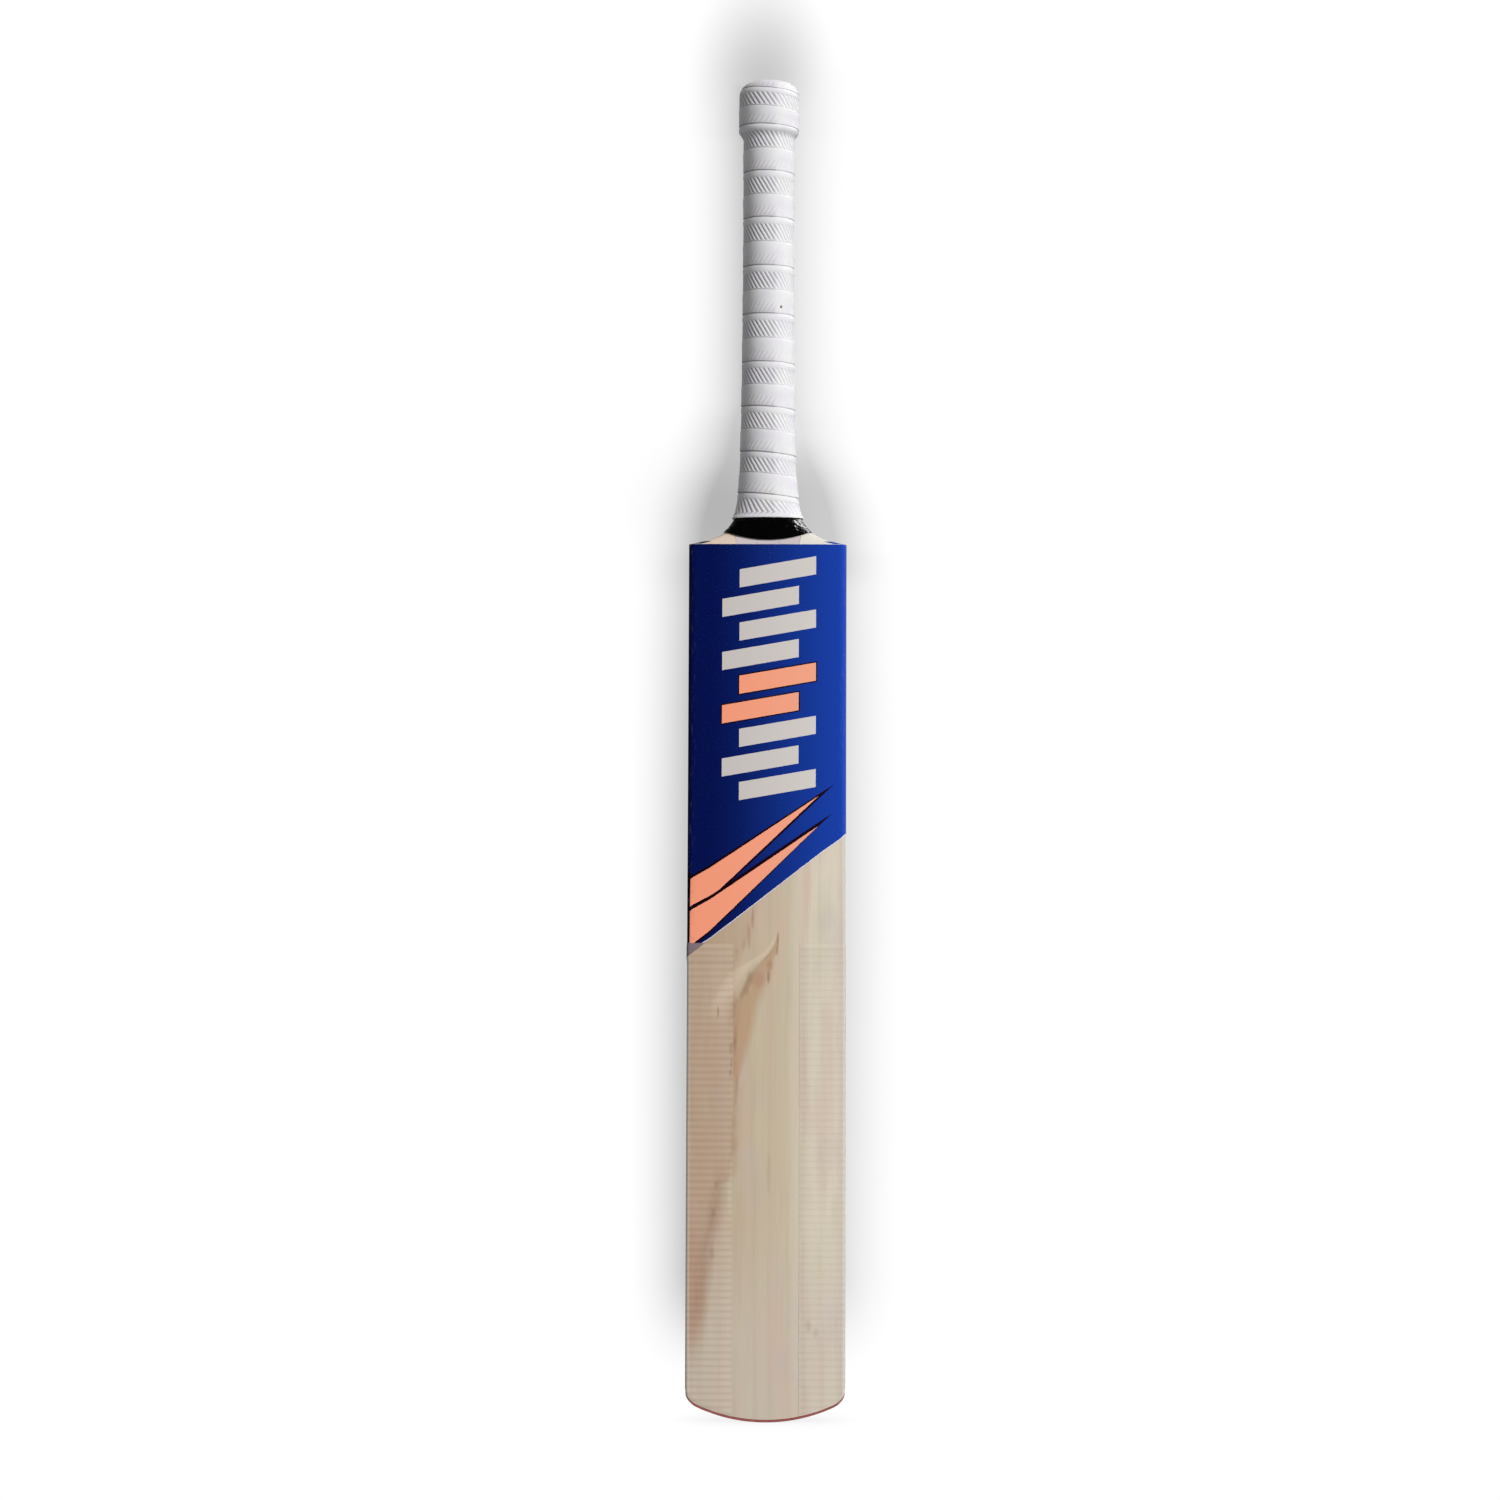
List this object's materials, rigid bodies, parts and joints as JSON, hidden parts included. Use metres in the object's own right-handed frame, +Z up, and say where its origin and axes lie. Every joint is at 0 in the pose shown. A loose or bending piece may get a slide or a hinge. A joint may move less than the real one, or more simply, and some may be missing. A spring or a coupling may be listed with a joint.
{
  "type": "cricket bat",
  "caption": "Full-size cricket bat: willow blade with a spliced, sprung cane handle, ribbed rubber grip, vinyl face sticker, ribbed edge tapes and a rubber toe guard.",
  "frame": {"origin": "under the middle of the toe, at half of the bat's overall depth", "axes": "+Z up the bat from the toe to the end of the handle, the hitting face looks along -Y, +X to the right of someone looking at the face"},
  "size_m": [0.1028, 0.062, 0.86],
  "materials": {
    "willow": "pale oiled willow with straight grain and a brown heartwood streak",
    "cane": "bare planed cane",
    "spring_rubber": "dull dark rubber sheet",
    "thread": "glued cotton twine",
    "black_tape": "glossy black tape over ridged twine",
    "grip_rubber": "matt white rubber with ribs and fine hatching",
    "sticker_vinyl": "glossy printed vinyl, deep blue with light grey and orange shapes",
    "fibre_tape": "translucent fibreglass tape with fine cross ribs",
    "toe_rubber": "smooth red-brown rubber"
  },
  "bodies": {
    "root": {"blade": "willow", "toe_guard": "toe_rubber", "cane_front_left": "cane", "cane_front_centre": "cane", "cane_front_right": "cane", "cane_mid_front_left": "cane", "cane_mid_front_centre": "cane", "cane_mid_front_right": "cane", "cane_mid_back_left": "cane", "cane_mid_back_centre": "cane", "cane_mid_back_right": "cane", "cane_back_left": "cane", "cane_back_centre": "cane", "cane_back_right": "cane", "rubber_spring_front": "spring_rubber", "rubber_spring_middle": "spring_rubber", "rubber_spring_back": "spring_rubber", "twine_binding": "thread", "end_winding": "thread", "neck_tape": "black_tape", "grip": "grip_rubber", "face_sticker": "sticker_vinyl", "edge_sticker_left": "sticker_vinyl", "edge_sticker_right": "sticker_vinyl", "back_sticker": "sticker_vinyl", "edge_tape_left": "fibre_tape", "edge_tape_right": "fibre_tape"}
  },
  "joints": []
}
